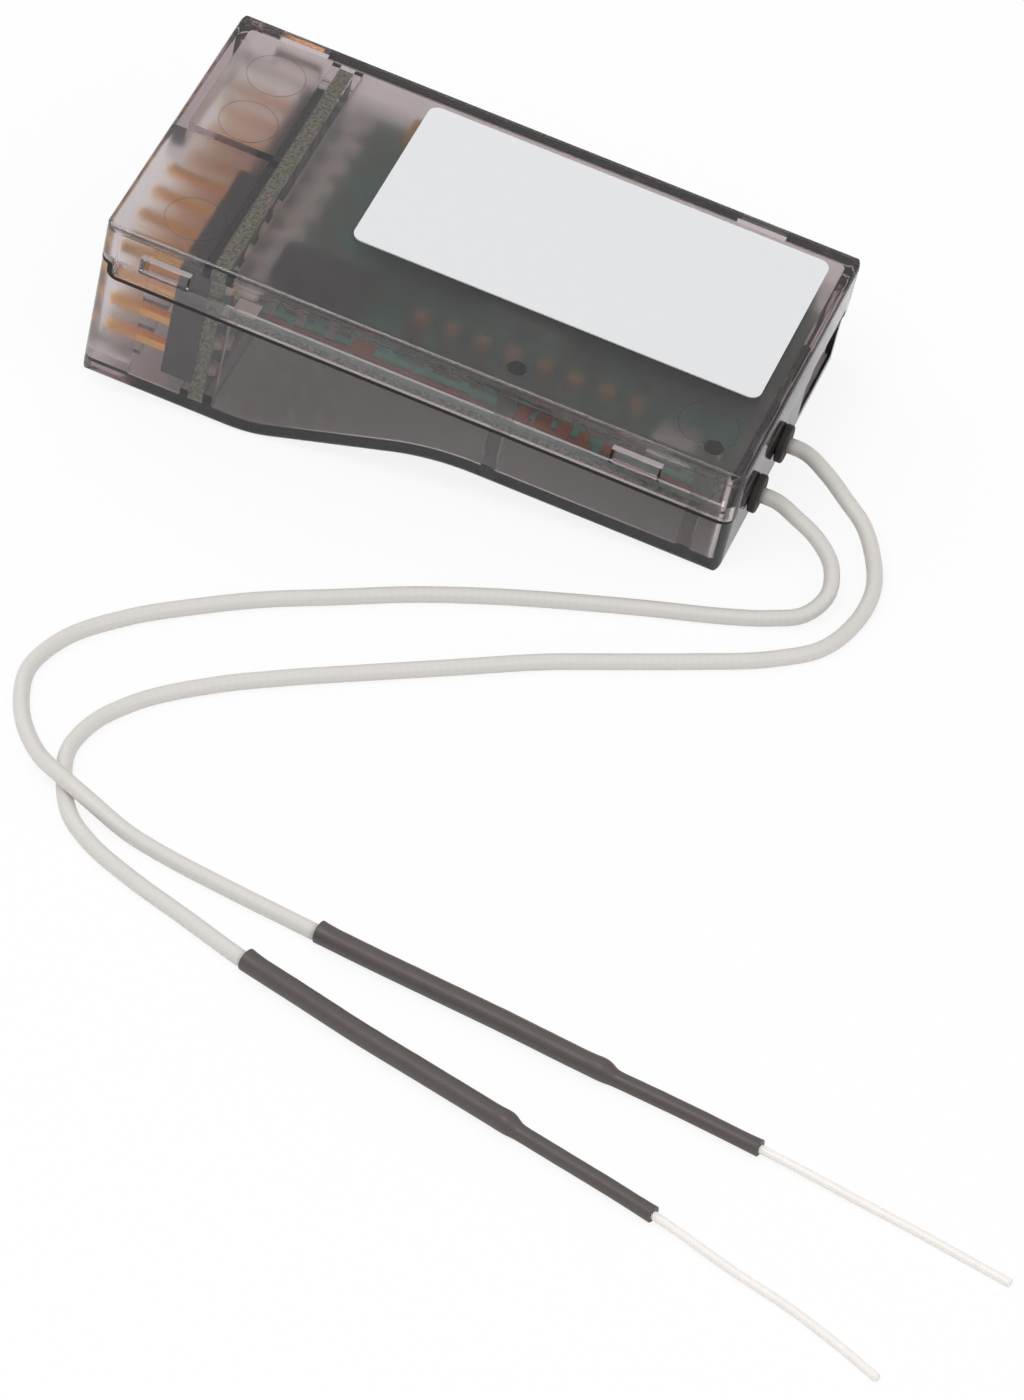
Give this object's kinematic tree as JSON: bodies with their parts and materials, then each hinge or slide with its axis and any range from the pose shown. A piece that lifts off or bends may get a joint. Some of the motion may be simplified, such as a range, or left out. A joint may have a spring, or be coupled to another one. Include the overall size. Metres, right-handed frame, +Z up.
{
  "type": "radio control receiver",
  "caption": "Small radio control receiver: smoked clear case with a stepped underside, a bay of servo ports, and two thin antennas with black sleeves and bare ends.",
  "frame": {"origin": "on the surface that the receiver rests on, below the middle of the case's box without its antennas", "axes": "+X from the pin end towards the antenna end, level; +Y to the far side; +Z up. The case lies tilted about Y by 7.7 degrees, as it comes to rest on its foot and on the lower edge of its antenna end"},
  "size_m": [0.0859, 0.0883, 0.0157],
  "materials": {
    "smoked_plastic": "clear smoked plastic, polished",
    "label": "satin foil label, left bare",
    "board": "solder mask",
    "black_moulding": "matt moulding",
    "gold_plate": "gold plated",
    "tin": "tinned, dull bright",
    "black_epoxy": "matt moulded epoxy",
    "ferrite": "sintered ferrite",
    "tantalum": "moulded epoxy",
    "ceramic": "fired ceramic",
    "lens": "milky lens",
    "spring_steel": "bright",
    "white_moulding": "matt moulding",
    "rubber": "matt rubber",
    "coax_jacket": "smooth extruded jacket",
    "shrink_tube": "satin shrink tubing",
    "white_insulation": "milky extruded insulation"
  },
  "bodies": {
    "receiver": {"lower_case": "smoked_plastic", "upper_case": "smoked_plastic", "label": "label", "main_board": "board", "upright_board": "board", "servo_header": "black_moulding", "bus_header": "black_moulding", "signal_pins": "gold_plate", "power_pins": "gold_plate", "ground_pins": "gold_plate", "bus_pins": "gold_plate", "pin_solder": "tin", "bridge_solder": "tin", "processor": "black_epoxy", "processor_leads": "tin", "shield_frame": "tin", "shield_cover": "tin", "radio_chip": "black_epoxy", "crystal": "tin", "regulator": "black_epoxy", "regulator_leads": "tin", "inductor": "ferrite", "tantalum_capacitors": "tantalum", "chip_capacitors": "ceramic", "chip_resistors": "black_epoxy", "chip_end_caps": "tin", "monitor_led": "lens", "link_switch_base": "black_moulding", "link_switch_cover": "tin", "contact_dome": "spring_steel", "voltage_socket": "black_moulding", "voltage_pins": "gold_plate", "coax_solder": "tin", "near_grommet": "rubber", "far_grommet": "rubber", "near_cable": "coax_jacket", "far_cable": "coax_jacket", "near_sleeve": "shrink_tube", "far_sleeve": "shrink_tube", "near_element": "white_insulation", "far_element": "white_insulation"},
    "link_switch": {"link_plunger": "white_moulding"}
  },
  "joints": [
    {"name": "link_press", "type": "slide", "parent": "receiver", "child": "link_switch", "axis": [0.1335, 0, 0.9911], "range_m": [0, 0.00025], "stiffness_N_per_m": 6400}
  ]
}
